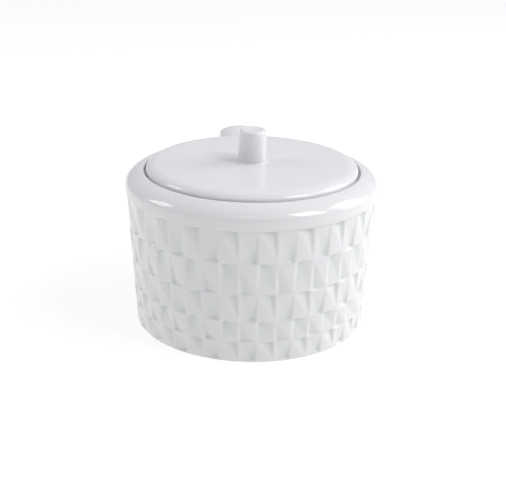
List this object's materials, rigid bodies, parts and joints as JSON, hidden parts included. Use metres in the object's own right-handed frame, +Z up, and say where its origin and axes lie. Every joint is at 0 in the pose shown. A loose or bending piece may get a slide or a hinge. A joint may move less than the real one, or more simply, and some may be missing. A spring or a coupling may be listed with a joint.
{
  "type": "sugar bowl",
  "caption": "Round white glazed sugar bowl with a faceted wall, rounded shoulder, rear ear handle and a flat lift-off lid with a cylindrical knob.",
  "frame": {"origin": "bottom centre of the whole object's bounding box, on the surface that the foot ring stands on; the bowl's own axis is 11.75 mm towards -Y of it because the handle sticks out at +Y", "axes": "+Z up along the bowl's axis, +Y from the bowl towards the handle, +X to the right seen from the side opposite the handle"},
  "size_m": [0.11, 0.1334, 0.0854],
  "materials": {
    "body_glaze": "gloss white glaze, bare fired clay on the foot ring's face",
    "lid_glaze": "gloss white glaze"
  },
  "bodies": {
    "bowl": {"bowl_body": "body_glaze", "handle": "body_glaze"},
    "lid": {"lid_plate": "lid_glaze", "lid_knob": "lid_glaze"}
  },
  "joints": [
    {"name": "lid_lift", "type": "slide", "parent": "bowl", "child": "lid", "axis": [0, 0, 1], "range_m": [0, 0.08]}
  ]
}
